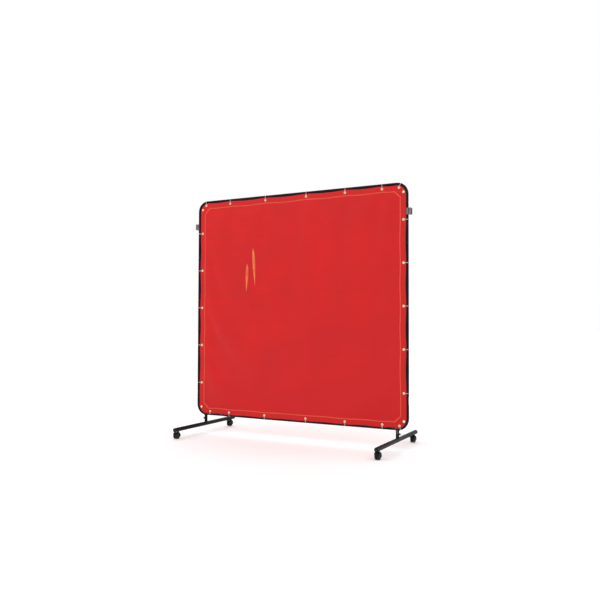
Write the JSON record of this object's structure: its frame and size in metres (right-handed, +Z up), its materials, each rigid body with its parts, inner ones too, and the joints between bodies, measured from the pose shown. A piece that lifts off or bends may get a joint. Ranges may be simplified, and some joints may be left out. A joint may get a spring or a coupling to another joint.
{
  "type": "welding curtain screen",
  "caption": "Free-standing screen with a rounded tube frame, a laced-on red welding curtain, coupling clips and two T-legs on swivel casters.",
  "frame": {"origin": "on the floor, under the middle of the frame's width and of the legs' length", "axes": "+Z up along the screen's height; +X along its width to the right; -Y is the front, where the curtain lies, +Y the back"},
  "size_m": [1.908, 0.842, 1.9426],
  "materials": {
    "curtain_pvc": "semi-gloss flexible PVC film, slightly translucent",
    "tie_nylon": "natural nylon",
    "frame_paint": "satin black powder coat on steel tube",
    "cap_plastic": "moulded black",
    "zinc_steel": "zinc plated",
    "clip_plastic": "moulded dark grey",
    "caster_plastic": "moulded black",
    "wheel_plastic": "satin dark grey tread"
  },
  "bodies": {
    "frame": {"curtain": "curtain_pvc", "cable_tie_top_1": "tie_nylon", "cable_tie_top_2": "tie_nylon", "cable_tie_top_3": "tie_nylon", "cable_tie_top_4": "tie_nylon", "cable_tie_top_5": "tie_nylon", "cable_tie_top_6": "tie_nylon", "cable_tie_top_7": "tie_nylon", "cable_tie_bottom_1": "tie_nylon", "cable_tie_bottom_2": "tie_nylon", "cable_tie_bottom_3": "tie_nylon", "cable_tie_bottom_4": "tie_nylon", "cable_tie_bottom_5": "tie_nylon", "cable_tie_bottom_6": "tie_nylon", "cable_tie_bottom_7": "tie_nylon", "cable_tie_left_1": "tie_nylon", "cable_tie_left_2": "tie_nylon", "cable_tie_left_3": "tie_nylon", "cable_tie_left_4": "tie_nylon", "cable_tie_left_5": "tie_nylon", "cable_tie_right_1": "tie_nylon", "cable_tie_right_2": "tie_nylon", "cable_tie_right_3": "tie_nylon", "cable_tie_right_4": "tie_nylon", "cable_tie_right_5": "tie_nylon", "frame_corner_upper_left": "frame_paint", "frame_corner_lower_left": "frame_paint", "upright_left": "frame_paint", "frame_corner_upper_right": "frame_paint", "frame_corner_lower_right": "frame_paint", "upright_right": "frame_paint", "rail_top": "frame_paint", "rail_bottom": "frame_paint", "leg_left": "frame_paint", "end_cap_front_left": "cap_plastic", "end_cap_back_left": "cap_plastic", "clamp_bolt_left": "zinc_steel", "leg_right": "frame_paint", "end_cap_front_right": "cap_plastic", "end_cap_back_right": "cap_plastic", "clamp_bolt_right": "zinc_steel"},
    "caster_front_left": {"caster_front_left_body": "caster_plastic", "caster_front_left_axle": "zinc_steel"},
    "caster_front_left_wheel_left": {"caster_front_left_wheel_left": "wheel_plastic"},
    "caster_front_left_wheel_right": {"caster_front_left_wheel_right": "wheel_plastic"},
    "caster_front_right": {"caster_front_right_body": "caster_plastic", "caster_front_right_axle": "zinc_steel"},
    "caster_front_right_wheel_left": {"caster_front_right_wheel_left": "wheel_plastic"},
    "caster_front_right_wheel_right": {"caster_front_right_wheel_right": "wheel_plastic"},
    "caster_back_left": {"caster_back_left_body": "caster_plastic", "caster_back_left_axle": "zinc_steel"},
    "caster_back_left_wheel_left": {"caster_back_left_wheel_left": "wheel_plastic"},
    "caster_back_left_wheel_right": {"caster_back_left_wheel_right": "wheel_plastic"},
    "caster_back_right": {"caster_back_right_body": "caster_plastic", "caster_back_right_axle": "zinc_steel"},
    "caster_back_right_wheel_left": {"caster_back_right_wheel_left": "wheel_plastic"},
    "caster_back_right_wheel_right": {"caster_back_right_wheel_right": "wheel_plastic"},
    "coupling_clip_left": {"coupling_clip_left": "clip_plastic"},
    "coupling_clip_right": {"coupling_clip_right": "clip_plastic"}
  },
  "joints": [
    {"name": "caster_front_left_swivel", "type": "hinge", "parent": "frame", "child": "caster_front_left", "pos_m": [-0.8425, -0.374, 0.055], "axis": [0, 0, 1], "continuous": true},
    {"name": "caster_front_left_wheel_left_spin", "type": "hinge", "parent": "caster_front_left", "child": "caster_front_left_wheel_left", "pos_m": [-0.8425, -0.392, 0.025], "axis": [1, 0, 0], "continuous": true},
    {"name": "caster_front_left_wheel_right_spin", "type": "hinge", "parent": "caster_front_left", "child": "caster_front_left_wheel_right", "pos_m": [-0.8425, -0.392, 0.025], "axis": [1, 0, 0], "continuous": true},
    {"name": "caster_front_right_swivel", "type": "hinge", "parent": "frame", "child": "caster_front_right", "pos_m": [0.8425, -0.374, 0.055], "axis": [0, 0, 1], "continuous": true},
    {"name": "caster_front_right_wheel_left_spin", "type": "hinge", "parent": "caster_front_right", "child": "caster_front_right_wheel_left", "pos_m": [0.8425, -0.392, 0.025], "axis": [1, 0, 0], "continuous": true},
    {"name": "caster_front_right_wheel_right_spin", "type": "hinge", "parent": "caster_front_right", "child": "caster_front_right_wheel_right", "pos_m": [0.8425, -0.392, 0.025], "axis": [1, 0, 0], "continuous": true},
    {"name": "caster_back_left_swivel", "type": "hinge", "parent": "frame", "child": "caster_back_left", "pos_m": [-0.8425, 0.374, 0.055], "axis": [0, 0, 1], "continuous": true},
    {"name": "caster_back_left_wheel_left_spin", "type": "hinge", "parent": "caster_back_left", "child": "caster_back_left_wheel_left", "pos_m": [-0.8425, 0.356, 0.025], "axis": [1, 0, 0], "continuous": true},
    {"name": "caster_back_left_wheel_right_spin", "type": "hinge", "parent": "caster_back_left", "child": "caster_back_left_wheel_right", "pos_m": [-0.8425, 0.356, 0.025], "axis": [1, 0, 0], "continuous": true},
    {"name": "caster_back_right_swivel", "type": "hinge", "parent": "frame", "child": "caster_back_right", "pos_m": [0.8425, 0.374, 0.055], "axis": [0, 0, 1], "continuous": true},
    {"name": "caster_back_right_wheel_left_spin", "type": "hinge", "parent": "caster_back_right", "child": "caster_back_right_wheel_left", "pos_m": [0.8425, 0.356, 0.025], "axis": [1, 0, 0], "continuous": true},
    {"name": "caster_back_right_wheel_right_spin", "type": "hinge", "parent": "caster_back_right", "child": "caster_back_right_wheel_right", "pos_m": [0.8425, 0.356, 0.025], "axis": [1, 0, 0], "continuous": true},
    {"name": "coupling_clip_left_turn", "type": "hinge", "parent": "frame", "child": "coupling_clip_left", "pos_m": [-0.9175, 0, 1.72477], "axis": [0, 0, -1], "range_deg": [-10, 75]},
    {"name": "coupling_clip_right_turn", "type": "hinge", "parent": "frame", "child": "coupling_clip_right", "pos_m": [0.9175, 0, 1.72477], "axis": [0, 0, 1], "range_deg": [-10, 75]}
  ]
}
